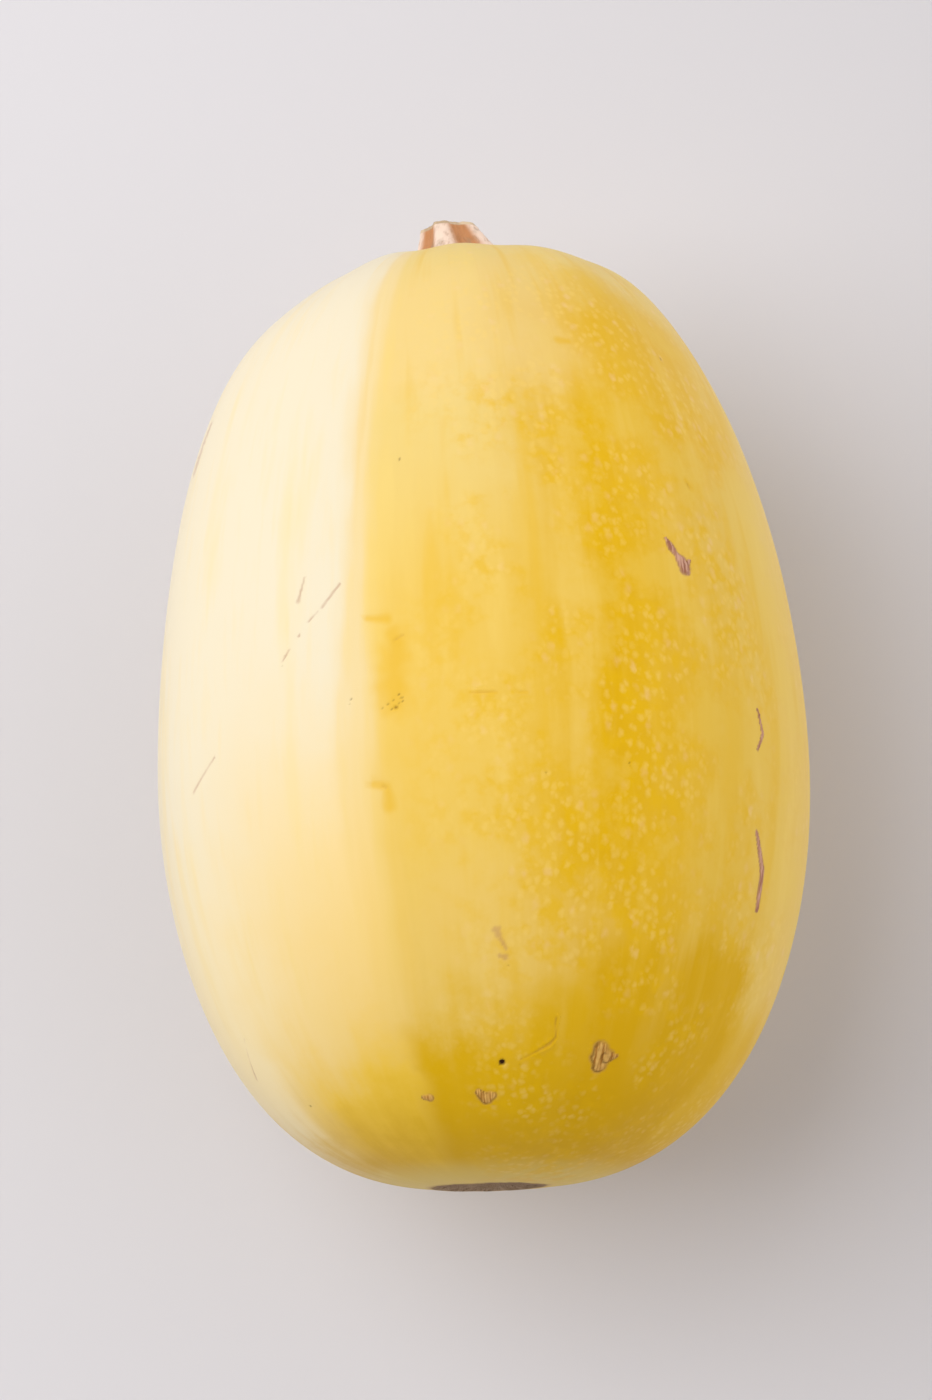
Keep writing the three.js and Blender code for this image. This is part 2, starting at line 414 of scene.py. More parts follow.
# %% List the marks: kind, tone, then (mm from the widest section towards the stem, degrees, width in mm)
FRESH, DRY = 0.0, 0.5  # tones of cork: mauve and golden brown; the blossom scar has 1, grey brown
marks = [
    (
        "cork",
        FRESH,
        [(39.4, 35.3, 0.5), (37.6, 36.2, 1.5), (36, 37.1, 1.1), (34.6, 38.2, 2.3), (33.2, 38.6, 2.5)],
    ),
    ("cork", FRESH, [(35.0, 39.9, 0.7), (33.8, 39.1, 1.5), (32.2, 39.2, 1.1)]),
    ("cork", FRESH, [(4.6, 54.5, 0.6), (-0.6, 55.8, 0.8), (-4.2, 54, 0.6)]),
    ("cork", FRESH, [(-22.2, 54.2, 0.9), (-29.7, 57.2, 1.4), (-38, 57.5, 1.1)]),
    ("cork", DRY, [(-68.2, 24.4, 2.8), (-69.6, 25.0, 4.4), (-71.6, 25.2, 2.6)]),
    ("cork", DRY, [(-69.6, 28.6, 0.8), (-69.8, 26.6, 2.6)]),
    ("cork", DRY, [(-76.2, -4.1, 1.3), (-77.4, -2.3, 2.6), (-76.9, -0.8, 1.7)]),
    ("cork", DRY, [(-76.6, -18.2, 1.0), (-76.8, -16.9, 1.5)]),
    ("pit", FRESH, [(-70.8, 1.8, 1.3)]),
    ("crease", FRESH, [(-62.3, 13, 0.3), (-66.2, 13.4, 0.4), (-67.5, 12.2, 0.8), (-70.4, 5.8, 0.3)]),
    ("flush", FRESH, [(-45.2, 1.2, 1.8), (-46.2, 1.6, 1.2)]),
    ("flush", FRESH, [(-46.6, 1.9, 0.9), (-48.8, 2.9, 0.7)]),
    ("flush", FRESH, [(-50.2, 1.8, 1.0), (-50.4, 2.6, 1.4)]),
    ("crease", FRESH, [(3.7, -1.8, 0.35), (3.4, 2.5, 0.4)]),
    ("crease", FRESH, [(3.4, 6.2, 0.4), (3.4, 7.5, 0.35)]),
    ("scratch", FRESH, [(32.6, -30.8, 0.4), (28.4, -31.7, 0.6), (27.4, -31.9, 1.1)]),
    ("scratch", FRESH, [(29.9, -24, 0.5), (25.2, -27.2, 0.7)]),
    ("scratch", FRESH, [(24.4, -28.0, 0.5), (22.4, -29.8, 0.4)]),
    ("scratch", FRESH, [(19.9, -31.5, 0.6), (19.6, -31.6, 0.6)]),
    ("scratch", FRESH, [(17, -33.5, 0.5), (14.8, -34.8, 0.4)]),
    ("scratch", FRESH, [(-2.3, -51.8, 0.5), (-8.4, -58.5, 0.7)]),
    ("flush", FRESH, [(79.5, -71, 2.5), (70, -73, 3.5)]),
    ("stain", FRESH, [(21.4, -19, 1.5), (20.8, -15.5, 2.4)]),
    ("stain", FRESH, [(16.5, -13.9, 5.0), (10.0, -14.6, 6.5), (2.5, -14.6, 6.0)]),
    ("crease", FRESH, [(17.0, -12.8, 0.4), (16.0, -14.3, 0.5)]),
    ("stain", FRESH, [(-14.2, -18.5, 1.8), (-14.8, -16.2, 2.2), (-19, -16, 3.0)]),
    ("crease", FRESH, [(-14.5, -17.2, 0.4), (-15.2, -16.4, 0.4)]),
    ("stain", FRESH, [(54.5, 43, 1.4), (53.2, 43.8, 2.6)]),
    ("crease", FRESH, [(54.0, 43.2, 0.4), (53.0, 43.8, 0.6)]),
    ("stain", FRESH, [(86.1, 20.4, 2.4), (86.1, 22.5, 1.4)]),
    ("scratch", FRESH, [(-60.8, -63, 0.4), (-68.8, -69, 0.7)]),
    ("pit", FRESH, [(-75.9, -54.5, 0.6)]),
    ("pit", FRESH, [(86.3, 48.5, 0.6)]),
    ("pit", FRESH, [(56.9, -13.5, 0.5)]),
    ("pit", FRESH, [(4.3, -22, 0.5)]),
    ("pit", FRESH, [(-10.8, 24.8, 0.4)]),
    ("pit", FRESH, [(-13.7, 10.2, 0.4)]),
]

# %% Scatter pinpricks in one clump, and a few more marks on the far side
chance = random.Random(11)
for _ in range(11):
    spot = (chance.gauss(2.4, 0.7), chance.gauss(-14.8, 1.6), chance.uniform(0.35, 0.55))
    marks.append(("pit", FRESH, [spot]))
for _ in range(9):
    start_mm = chance.uniform(-60, 95)
    degrees = chance.choice((-1, 1)) * chance.uniform(88, 140)
    kind = chance.choice(("scratch", "stain", "pit", "flush"))
    width = {"scratch": 0.6, "pit": 0.6, "stain": 2.6, "flush": 2.0}[kind]
    slant = chance.uniform(-5, 5)
    run = chance.uniform(0, 1) * {"scratch": 8, "pit": 0.2, "stain": 4, "flush": 3}[kind]
    marks.append((kind, FRESH, [(start_mm, degrees, width), (start_mm - run, degrees + slant, width)]))
marks.append(("cork", FRESH, [(40, 128, 0.6), (31, 125.5, 1.5), (22, 126, 0.9), (18, 127.5, 0.5)]))
marks.append(("cork", DRY, [(-32, -112, 1.4), (-34, -111, 2.6), (-37, -110.5, 1.6)]))
print(len(marks), "marks")

# %% Find a point of the rind, and a point's place on a stroke
tree_of_faces = BVHTree.FromPolygons(
    [vertex.co for vertex in squash.data.vertices],
    [tuple(face.vertices) for face in squash.data.polygons],
)


OUTSIDE = 300 * MM  # farther from the axis than any point of the rind


def on_rind(place_mm, degrees):
    """The point of the rind at a place along the axis and an angle from the top, towards +X."""
    angle = math.radians(degrees)
    start = from_fruit @ Vector((0, place_mm * MM, 0))
    way = tilt.to_3x3() @ Vector((math.sin(angle), 0, math.cos(angle)))
    return tree_of_faces.ray_cast(start + way * OUTSIDE, -way)[0]


strokes = [
    (kind, tone, [(on_rind(place_mm, degrees), width * MM / 2) for place_mm, degrees, width in path])
    for kind, tone, path in marks
]
SCAR_CENTRE = from_fruit @ Vector((-2.1 * MM, -91.8 * MM, -1.3 * MM))
SCAR_RADIUS = 12.6 * MM


def stroke_distance(spots, path):
    """How far each spot is from a stroke, and the stroke's half width nearest to it."""
    best = np.full(len(spots), np.inf)
    half = np.zeros(len(spots))
    legs = list(zip(path, path[1:])) or [(path[0], path[0])]
    for (start, start_half), (finish, finish_half) in legs:
        a, b = np.array(start), np.array(finish)
        leg = b - a
        reach_2 = max(leg @ leg, 1e-12)
        share_along = np.clip((spots - a) @ leg / reach_2, 0, 1)
        gap = np.linalg.norm(spots - a - share_along[:, None] * leg, axis=1)
        closer = gap < best
        best[closer] = gap[closer]
        half[closer] = (start_half + share_along * (finish_half - start_half))[closer]
    return best, half


# %% Cut the mesh finer near the marks and over the blossom scar
FINE = 0.34 * MM


def refine(mesh, rounds):
    """Halves each edge that is near a mark and longer than it should be, and does so again."""
    work = bmesh.new()
    work.from_mesh(mesh)
    for _ in range(rounds):
        work.edges.ensure_lookup_table()
        middles = np.array([(e.verts[0].co + e.verts[1].co) / 2 for e in work.edges])
        lengths = np.array([e.calc_length() for e in work.edges])
        wanted = np.zeros(len(lengths), bool)
        for kind, tone, path in strokes:
            centre = np.mean([np.array(point) for point, half in path], axis=0)
            reach_m = max(np.linalg.norm(np.array(point) - centre) for point, half in path) + 6 * MM
            nearby = np.where(np.linalg.norm(middles - centre, axis=1) < reach_m)[0]
            gap, half = stroke_distance(middles[nearby], path)
            wanted[nearby] |= gap < half * 1.5 + (0.2 if kind == "stain" else 1.1) * MM
        wanted |= np.linalg.norm(middles - np.array(SCAR_CENTRE), axis=1) < SCAR_RADIUS + 2.5 * MM
        chosen = np.where(wanted & (lengths > FINE * 1.4))[0]
        bmesh.ops.subdivide_edges(
            work, edges=[work.edges[i] for i in chosen], cuts=1, use_grid_fill=True, smooth=1.0
        )
    work.normal_update()
    bmesh.ops.triangulate(work, faces=[f for f in work.faces if len(f.verts) > 4])
    bmesh.ops.recalc_face_normals(work, faces=work.faces)
    work.to_mesh(mesh)
    work.free()


refine(squash.data, 2)
print("refined rind:", len(squash.data.vertices), "points")

# %% Lift, sink and paint the marks
spots = positions(squash.data)
normals = np.empty(len(squash.data.vertices) * 3)
squash.data.vertices.foreach_get("normal", normals)
normals = normals.reshape(-1, 3)
paint = {label: np.zeros(len(spots)) for label in ("cork", "flush", "pit", "dent", "age")}
height = np.zeros(len(spots))


def smooth(value, low_edge, high_edge):
    """Rises smoothly from 0 at the low edge to 1 at the high edge, or falls if they are swapped."""
    share_in = np.clip((value - low_edge) / (high_edge - low_edge), 0, 1)
    return share_in * share_in * (3 - 2 * share_in)


def roughness(places, grain_m):
    """A noise about 0 for each place, with lumps of the grain's size."""
    return np.array([noise.noise(Vector(p) / grain_m) for p in places])


for kind, tone, path in strokes:
    centre = np.mean([np.array(point) for point, half in path], axis=0)
    reach_m = max(np.linalg.norm(np.array(point) - centre) for point, half in path) + 8 * MM
    nearby = np.where(np.linalg.norm(spots - centre, axis=1) < reach_m)[0]
    gap, half = stroke_distance(spots[nearby], path)
    lumps = roughness(spots[nearby], 0.9 * MM)
    broad = roughness(spots[nearby], 2.5 * MM)
    ratio = gap / half + lumps * 0.22 * np.clip(1.2 * MM / half, 0.3, 1)
    # Painted shade: the dark outline of dried cork is made much stronger on its -X side, standing for the
    # shade in a gap beside the plug.
    painted_shade_side = smooth((centre - spots[nearby])[:, 0] / half, -0.8, 0.6)
    layers = {}
    if kind == "cork":
        inside = smooth(ratio, 1.15, 0.8)
        layers["cork"] = inside
        layers["flush"] = smooth(ratio, 1.6, 1.15) * (1 - tone)
        layers["pit"] = smooth(np.abs(ratio - 1.0), 0.2, 0.05) * (0.15 + 0.8 * tone * painted_shade_side)
        paint["age"][nearby] = np.maximum(paint["age"][nearby], smooth(gap / half, 3, 1.5) * tone)
        rise = inside * (0.16 + 0.22 * lumps) - smooth(np.abs(ratio - 1.15), 0.3, 0.05) * 0.12
    elif kind == "scratch":
        inside = smooth(ratio, 1.5, 0.4) * np.clip(0.75 + 0.9 * broad, 0, 1)
        layers["flush"] = inside * 0.8
        rise = -inside * 0.1
    elif kind == "crease":
        inside = smooth(gap / half + lumps * 0.2, 1.3, 0.2)
        layers["dent"] = smooth(gap / half, 3.0, 0.6) * 0.8
        layers["flush"] = inside * 0.18
        lip = smooth(np.abs(gap / half - 1.8), 0.9, 0.1) * np.clip(half / (0.3 * MM), 0, 1) ** 2
        rise = lip * 0.13 - inside * 0.22
    elif kind == "pit":
        inside = smooth(gap / half + lumps * 0.25, 1.25, 0.7)
        layers["pit"] = inside * np.clip(half / (0.5 * MM), 0.3, 1)
        rise = -inside * np.minimum(0.5, half / MM)
    elif kind == "flush":
        layers["flush"] = smooth(gap / half + lumps * 0.9, 1.5, 0.2) * 0.6
        rise = np.zeros(len(nearby))
    else:
        layers["dent"] = smooth(gap / half + broad * 0.5, 1.7, 0.1)
        rise = -layers["dent"] * 0.08
    for label, values in layers.items():
        paint[label][nearby] = np.maximum(paint[label][nearby], values)
    height[nearby] += rise * MM

# %% [markdown]
# ## The blossom scar
# Where the flower dropped off, a disc of cork is left: a raised ragged ring, a sunken floor with
# fine rings and cracks, and the stump of the style as a nub in the middle. It is the same skin,
# so it is shaped into the rind's own mesh instead of being laid on it.

# %% Shape the blossom scar
offset = spots - np.array(SCAR_CENTRE)
inverse_tilt = np.array(tilt.to_3x3().inverted())
flat_offset = offset @ inverse_tilt.T
near_scar = np.where((np.linalg.norm(offset, axis=1) < SCAR_RADIUS * 2) & (offset[:, 1] < 0.02))[0]
out_x, out_z = flat_offset[near_scar, 0], flat_offset[near_scar, 2]
turn_round = np.arctan2(out_z, out_x)
coarse = roughness(spots[near_scar], 3.2 * MM)
grainy = roughness(spots[near_scar], 0.9 * MM)
edge = SCAR_RADIUS * (1 + 0.035 * np.cos(2 * turn_round + 0.6) + 0.025 * np.cos(5 * turn_round))
from_middle = np.hypot(out_x, out_z) / edge
ragged = from_middle + coarse * 0.05 + grainy * 0.03
inside = smooth(ragged, 1.03, 0.95)
rim = np.exp(-(((ragged - 0.93) / 0.07) ** 2))
nub = smooth(from_middle, 0.2, 0.1)
rings = np.cos(from_middle * 2 * math.pi * 5 + coarse * 2.5)
cracks = np.exp(-((np.sin(turn_round * 7 + coarse * 3) / 0.16) ** 2)) * smooth(from_middle, 0.25, 0.5)
cracks = cracks * smooth(from_middle, 0.95, 0.8)
height[near_scar] += (
    rim * 0.35
    - inside * 0.3
    + inside * (0.07 * rings + 0.16 * grainy + 0.12 * coarse)
    - cracks * 0.22
    + nub * 0.9
) * MM
paint["cork"][near_scar] = np.maximum(paint["cork"][near_scar], inside)
paint["age"][near_scar] = np.maximum(paint["age"][near_scar], smooth(ragged, 1.1, 1.0))
paint["pit"][near_scar] = np.maximum(paint["pit"][near_scar], cracks * inside * 0.5)
paint["flush"][near_scar] = np.maximum(paint["flush"][near_scar], smooth(ragged, 1.12, 1.0) * 0.6)

# %% Write the shape and the paint back to the mesh
squash.data.vertices.foreach_set("co", (spots + normals * height[:, None]).ravel())
for label, values in paint.items():
    layer = squash.data.attributes.new(label, "FLOAT", "POINT")
    layer.data.foreach_set("value", values)
squash.data.update()
triangles = sum(len(face.vertices) - 2 for face in squash.data.polygons)
print("rind triangles:", triangles)

# %% [markdown]
# ## Finish of the rind
# Ripe rind is a hard skin under a thin natural wax. It is satin, never glossy, and its colour is
# uneven: cream where it faced the ground, lemon over most of it, and gold towards the blossom end.
# Along the fruit run faint streaks, and small pale lenticels dot the gold. The colours are mixed
# from the place along and around the fruit, so nothing slides when the fruit is seen from elsewhere.

# %% Colour the rind
rind_material, look, surface = new_material("Waxy rind of a ripe squash")
coords = add(look, "ShaderNodeTexCoord", out="Object")
read = {
    label: add(look, "ShaderNodeAttribute", out="Fac", attribute_name=label)
    for label in ("station", "side", "top", "cork", "flush", "pit", "dent", "age")
}
station_mm = add(look, MATH, (read["station"], 1000.0), operation="MULTIPLY")
turn_angle = add(look, MATH, (read["side"], read["top"]), operation="ARCTAN2")
cloud = add(look, "ShaderNodeTexNoise", {"Vector": coords, "Scale": 26.0, "Detail": 3.0})
wobble = add(look, MATH, (cloud, -0.5), operation="ADD")
wobble = add(look, MATH, (wobble, 0.12), operation="MULTIPLY")
turn_angle = add(look, MATH, (turn_angle, wobble), operation="ADD")
degrees = add(look, MATH, (turn_angle, 180 / math.pi), operation="MULTIPLY")


def ramp(value, start, finish):
    """A smooth rise from 0 at the start value to 1 at the finish value."""
    return add(
        look,
        "ShaderNodeMapRange",
        {"Value": value, "From Min": start, "From Max": finish},
        interpolation_type="SMOOTHSTEP",
    )


def both(first, second):
    """The product of two masks."""
    return add(look, MATH, (first, second), operation="MULTIPLY")


def blend(mask, under, over):
    """One colour over another where the mask is 1."""
    return add(look, MIX, {0: mask, 6: under, 7: over}, out=2, data_type="RGBA")


lengthwise = add(look, MATH, (read["station"], 1.9), operation="MULTIPLY")
meridian = add(look, "ShaderNodeCombineXYZ", (read["side"], lengthwise, read["top"]))
streaks = add(look, "ShaderNodeTexNoise", {"Vector": meridian, "Scale": 30.0, "Detail": 2.0})
veins = add(look, "ShaderNodeTexNoise", {"Vector": meridian, "Scale": 9.0, "Detail": 3.0})
patches = add(look, "ShaderNodeTexNoise", {"Vector": coords, "Scale": 45.0, "Detail": 6.0, "Roughness": 0.6})
vein_shift = add(look, "ShaderNodeMapRange", {"Value": veins, "To Min": -9.0, "To Max": 9.0})
frayed_mm = add(look, MATH, (station_mm, vein_shift), operation="ADD")
patch_shift = add(look, "ShaderNodeMapRange", {"Value": patches, "To Min": -20.0, "To Max": 20.0})
ragged_mm = add(look, MATH, (frayed_mm, patch_shift), operation="ADD")
degree_shift = add(look, MATH, (patch_shift, 0.7), operation="MULTIPLY")
ragged_degrees = add(look, MATH, (degrees, degree_shift), operation="ADD")


def zone(along, around, soft_along=14, soft_around=7, straight=False):
    """A mask of 1 between two places along the fruit and two angles around it, with soft edges."""
    place, angle = (station_mm, degrees) if straight else (ragged_mm, ragged_degrees)
    mask = ramp(place, along[0] - soft_along, along[0] + soft_along)
    mask = both(mask, ramp(place, along[1] + soft_along, along[1] - soft_along))
    mask = both(mask, ramp(angle, around[0] - soft_around, around[0] + soft_around))
    return both(mask, ramp(angle, around[1] + soft_around, around[1] - soft_around))


# The angle jumps from 180 to -180 degrees underneath, so masks that reach the jump fade out before it.
before_seam = ramp(degrees, 178, 150)
colour = blend(ramp(frayed_mm, 15, 75), linear("#E7C360"), linear("#E6CA7C"))
colour = blend(both(zone((-28, 36), (-16, 24)), 0.3), colour, linear("#E7BC40"))
gold_rise = both(ramp(ragged_degrees, -3, 23), ramp(ragged_degrees, 68, 25))
gold_run = ramp(ragged_mm, 114, 92)
colour = blend(both(both(gold_rise, gold_run), 0.97), colour, linear("#DFAE06"))
colour = blend(both(zone((56, 102), (32, 64), 12, 12), 0.75), colour, linear("#E5B425"))
colour = blend(both(zone((74, 108), (-30, 26), 8, 7), 0.6), colour, linear("#EACB84"))
# Paler over the right side and beneath it: partly the rind's own paler tone, partly a painted sheen, the
# pale room mirrored where the wax turns away.
colour = blend(both(both(ramp(degrees, 56, 76), before_seam), 0.35), colour, linear("#EBC878"))
colour = blend(both(zone((-38, 32), (20.6, 23.2), 10, 1.8, True), 0.6), colour, linear("#DBA900"))
colour = blend(both(zone((-58, -36), (-14, 24), 8, 5), 0.5), colour, linear("#E9C56C"))
paler = both(ramp(patches, 0.53, 0.36), ramp(degrees, 10, 26))
colour = blend(both(both(paler, before_seam), 0.42), colour, linear("#E9C85E"))
vein_degrees = add(look, MATH, (vein_shift, 0.7, degrees), operation="MULTIPLY_ADD")
light_step = both(ramp(vein_degrees, -13, -20), ramp(degrees, -178, -150))
light = blend(ramp(frayed_mm, 15, -50), linear("#E9D199"), linear("#F0CD78"))
colour = blend(light_step, colour, light)
colour = blend(both(zone((-62, 24), (-17.2, -14.6), 8, 0.9, True), 0.22), colour, linear("#E6BE4A"))
cream_side = both(ramp(vein_degrees, -20.5, -26.5), ramp(degrees, -165, -140))
cream = blend(ramp(frayed_mm, 0, -75), linear("#E8DCC0"), linear("#F4DFAD"))
warm = both(ramp(ragged_mm, 30, -55), ramp(ragged_degrees, -66, -24))
cream = blend(warm, cream, linear("#F2D184"))
colour = blend(cream_side, colour, cream)
for around, begin, soft, soft_degrees, strength, code in (
    ((-170, -52), -84, 12, 12, 0.8, "#F3CE66"),
    ((-54, -14), -66, 14, 10, 0.9, "#F0C430"),
    ((-18, 18), -62, 9, 5, 0.95, "#DEAE00"),
    ((17, 60), -47, 8, 4, 0.97, "#DAA900"),
    ((58, 150), -60, 14, 8, 0.9, "#E2B215"),
):
    mask = zone((-200, begin), around, soft, soft_degrees)
    colour = blend(both(mask, strength), colour, linear(code))
colour = blend(both(ramp(ragged_mm, -72, -96), 0.8), colour, linear("#D4A300"))
# Painted reflection: a pale ring round the blossom scar, where the rind turns away and mirrors the bright
# floor.
colour = blend(both(ramp(station_mm, -87.5, -91.5), 0.6), colour, linear("#E6CE72"))
off_end = ramp(station_mm, -80, -45)
on_yellow = both(both(ramp(vein_degrees, -26, -16), before_seam), off_end)
colour = blend(both(both(ramp(veins, 0.48, 0.3), on_yellow), 0.45), colour, linear("#E4B730"))
colour = blend(both(both(ramp(streaks, 0.5, 0.75), off_end), 0.1), colour, linear("#F0D06C"))
colour = blend(both(both(ramp(veins, 0.52, 0.75), off_end), 0.3), colour, linear("#F0D278"))
print("rind colours mixed")

# %% Dot it with lenticels: a fine pale mottle, and a few larger specks, strongest on the gold
jitter = add(look, "ShaderNodeTexNoise", {"Vector": coords, "Scale": 700.0, "Detail": 1.0}, out="Color")
SHAKE = 1.3 * MM
shaken = add(
    look, "ShaderNodeVectorMath", {0: jitter, 1: (SHAKE, SHAKE, SHAKE), 2: coords}, operation="MULTIPLY_ADD"
)
squeeze = add(look, "ShaderNodeMapping", {"Vector": shaken, "Scale": (1.0, 0.75, 1.0)})
fine_cells = add(look, "ShaderNodeTexVoronoi", {"Vector": squeeze, "Scale": 520.0}, feature="F1")
large_cells = add(look, "ShaderNodeTexVoronoi", {"Vector": squeeze, "Scale": 260.0}, feature="F1")
on_gold = both(ramp(degrees, -20, 8), ramp(degrees, 130, 90))
clumps = both(ramp(patches, 0.4, 0.58), on_gold)
mottle = both(ramp(fine_cells, 0.55, 0.1), clumps)
speck = both(ramp(large_cells, 0.34, 0.02), both(on_gold, ramp(patches, 0.35, 0.6)))
blotch = add(look, "ShaderNodeTexNoise", {"Vector": coords, "Scale": 260.0, "Detail": 3.0})
deep = both(both(ramp(blotch, 0.4, 0.66), ramp(patches, 0.38, 0.58)), ramp(station_mm, 88, 66))
deep = both(deep, both(on_gold, ramp(degrees, 78, 46)))
colour = blend(both(deep, 0.6), colour, linear("#E4B400"))
colour = blend(both(mottle, 0.34), colour, linear("#F0CE72"))
speck_strength = add(look, MIX, {0: ramp(station_mm, -74, -40), 2: 0.08, 3: 0.24})
colour = blend(both(speck, speck_strength), colour, linear("#F0CBA6"))

# %% Paint the marks, from the faintest to the darkest
colour = blend(both(read["dent"], 0.6), colour, linear("#E3B21C"))
colour = blend(both(read["flush"], 0.7), colour, linear("#B07C63"))
grain = add(look, "ShaderNodeTexNoise", {"Vector": meridian, "Scale": 110.0, "Detail": 2.0})
fresh_cork = blend(ramp(grain, 0.35, 0.65), linear("#A06C55"), linear("#CFA18A"))
dry_cork = blend(ramp(grain, 0.35, 0.65), linear("#AD7630"), linear("#E0B162"))
old_cork = blend(ramp(grain, 0.3, 0.7), linear("#6A4F38"), linear("#BBA082"))
cork_colour = blend(ramp(read["age"], 0.0, 0.5), fresh_cork, dry_cork)
cork_colour = blend(ramp(read["age"], 0.5, 1.0), cork_colour, old_cork)
colour = blend(read["cork"], colour, cork_colour)
# Dark brown of pits, cracks and cork outlines; along the -X edge of dried cork it is painted shade.
colour = blend(read["pit"], colour, linear("#3A2010"))
look.links.new(colour, surface.inputs["Base Color"])

# %% Give it a satin wax, and a skin that isn't quite smooth
dull = add(look, MIX, {0: read["cork"], 2: 0.4, 3: 0.88})
uneven = add(look, "ShaderNodeMapRange", {"Value": patches, "To Min": -0.05, "To Max": 0.07})
rough = add(look, MATH, (dull, uneven), operation="ADD", use_clamp=True)
look.links.new(rough, surface.inputs["Roughness"])
surface.inputs["IOR"].default_value = 1.45
surface.inputs["Specular IOR Level"].default_value = 0.1  # far below the usual 0.5, to match its faint shine
relief = add(look, MATH, (both(veins, 0.35), both(streaks, 0.1)), operation="ADD")
relief = add(look, MATH, (relief, both(speck, 0.05)), operation="ADD")
relief = add(look, MATH, (relief, both(both(grain, read["cork"]), 0.8)), operation="ADD")
bump = add(look, "ShaderNodeBump", {"Height": relief, "Strength": 0.5, "Distance": 0.4 * MM})
look.links.new(bump, surface.inputs["Normal"])

# %% [markdown]
# ## The stem
# The stalk of this species is five-angled, and dries to cork when the fruit is cut. Its ridges run
# out over the shoulder as feet. The stub is one outline turned round the stem's own axis, with the
# ridges as a rule in the angle, so it is grown by Geometry Nodes like the fruit.

# %% Sizes of the stem stub, in metres
stem_sizes = {
    "Tip Radius": 0.0061,
    "Base Radius": 0.0156,
    "Flare": 1.05,
    "Length": 0.013,
    "Root": 0.0075,
    "Lean": math.tan(math.radians(16)),
    "Cup": 0.0006,
    "Ridges": 5.0,
    "Ridge Turn": math.radians(-22),
    "Flute": 0.12,
    "Foot": 0.003,
    "Fibre": 0.00045,
    "Saw": 0.0005,
    "Sides": 200,
    "Rows": 120,
}
STEM_OFFSET = 0.6 * MM
STUB_POINTS = 400

# %% Draw the stub's outline: root, wall and cut face
stalk, size = new_tree("Stem stub", stem_sizes)
index = add(stalk, "GeometryNodeInputIndex")
step = add(stalk, MATH, (index, 1 / STUB_POINTS), operation="MULTIPLY")
shares = {}
for label, start, finish in (("root", 0.0, 0.12), ("wall", 0.12, 0.7), ("face", 0.7, 1.0)):
    shares[label] = add(stalk, "ShaderNodeMapRange", {"Value": step, "From Min": start, "From Max": finish})
fall = add(stalk, MATH, (1.0, shares["wall"]), operation="SUBTRACT")
fall_2 = add(stalk, MATH, (fall, size["Flare"]), operation="POWER")
wall_radius = add(stalk, MIX, {0: fall_2, 2: size["Tip Radius"], 3: size["Base Radius"]})
closing = add(stalk, MATH, (1.0, shares["face"]), operation="SUBTRACT")
opened = add(stalk, MATH, (wall_radius, shares["root"]), operation="MULTIPLY")
stub_x = add(stalk, MATH, (opened, closing), operation="MULTIPLY")
whole = add(stalk, MATH, (size["Length"], size["Root"]), operation="ADD")
climb = add(stalk, MATH, (whole, shares["wall"]), operation="MULTIPLY")
above = add(stalk, MATH, (climb, size["Root"]), operation="SUBTRACT")
face_in = add(stalk, "ShaderNodeMapRange", {"Value": shares["face"], "From Max": 0.5})
cup = add(stalk, MATH, (face_in, size["Cup"]), operation="MULTIPLY")
stub_y = add(stalk, MATH, (above, cup), operation="SUBTRACT")
stub_point = add(stalk, "ShaderNodeCombineXYZ", (stub_x, stub_y, 0.0))
line = add(stalk, "GeometryNodeCurvePrimitiveLine")
points = add(stalk, "GeometryNodeResampleCurve", {"Curve": line, "Count": STUB_POINTS + 1})
outline = add(stalk, "GeometryNodeSetPosition", {"Geometry": points, "Position": stub_point})

# %% Turn it round, and raise the ridges, feet and fibres
columns = add(stalk, MATH, (size["Sides"], 1.0), operation="ADD")
rows = add(stalk, MATH, (size["Rows"], 1.0), operation="ADD")
grid = add(
    stalk,
    "GeometryNodeMeshGrid",
    {"Size X": 1.0, "Size Y": 1.0, "Vertices X": columns, "Vertices Y": rows},
)
place = add(stalk, "GeometryNodeInputPosition")
grid_x = add(stalk, "ShaderNodeSeparateXYZ", (place,))
around = add(stalk, MATH, (grid_x, 2 * math.pi), operation="MULTIPLY")
share = add(stalk, MATH, (grid_x.node.outputs["Y"], 0.5), operation="ADD", use_clamp=True)
sample = add(stalk, "GeometryNodeSampleCurve", {"Curves": outline, "Factor": share}, out="Position")
distance = add(stalk, "ShaderNodeSeparateXYZ", (sample,))
up = distance.node.outputs["Y"]
sine = add(stalk, MATH, (around,), operation="SINE")
cosine = add(stalk, MATH, (around,), operation="COSINE")
turned = add(stalk, MATH, (around, size["Ridge Turn"]), operation="SUBTRACT")
phase = add(stalk, MATH, (turned, size["Ridges"]), operation="MULTIPLY")
ridge = add(stalk, MATH, (phase,), operation="COSINE")
ridge_up = add(stalk, MATH, (ridge, 0.5), operation="MULTIPLY")
ridge_share = add(stalk, MATH, (ridge_up, 0.5), operation="ADD")
thin_y = add(stalk, MATH, (up, 90.0), operation="MULTIPLY")
fibre_place = add(stalk, "ShaderNodeCombineXYZ", (sine, thin_y, cosine))
fibre_noise = add(stalk, "ShaderNodeTexNoise", {"Vector": fibre_place, "Scale": 5.5, "Detail": 3.0})
fibre_centred = add(stalk, MATH, (fibre_noise, -0.5), operation="ADD")
fibre = add(stalk, MATH, (fibre_centred, size["Fibre"]), operation="MULTIPLY")
fibre = add(stalk, MATH, (fibre, 2.0), operation="MULTIPLY")
wall_share = add(stalk, MATH, (distance, size["Tip Radius"]), operation="DIVIDE", use_clamp=True)
fibre = add(stalk, MATH, (fibre, wall_share), operation="MULTIPLY")
flute = add(stalk, MATH, (ridge, size["Flute"]), operation="MULTIPLY")
flute = add(stalk, MATH, (flute, 1.0), operation="ADD")
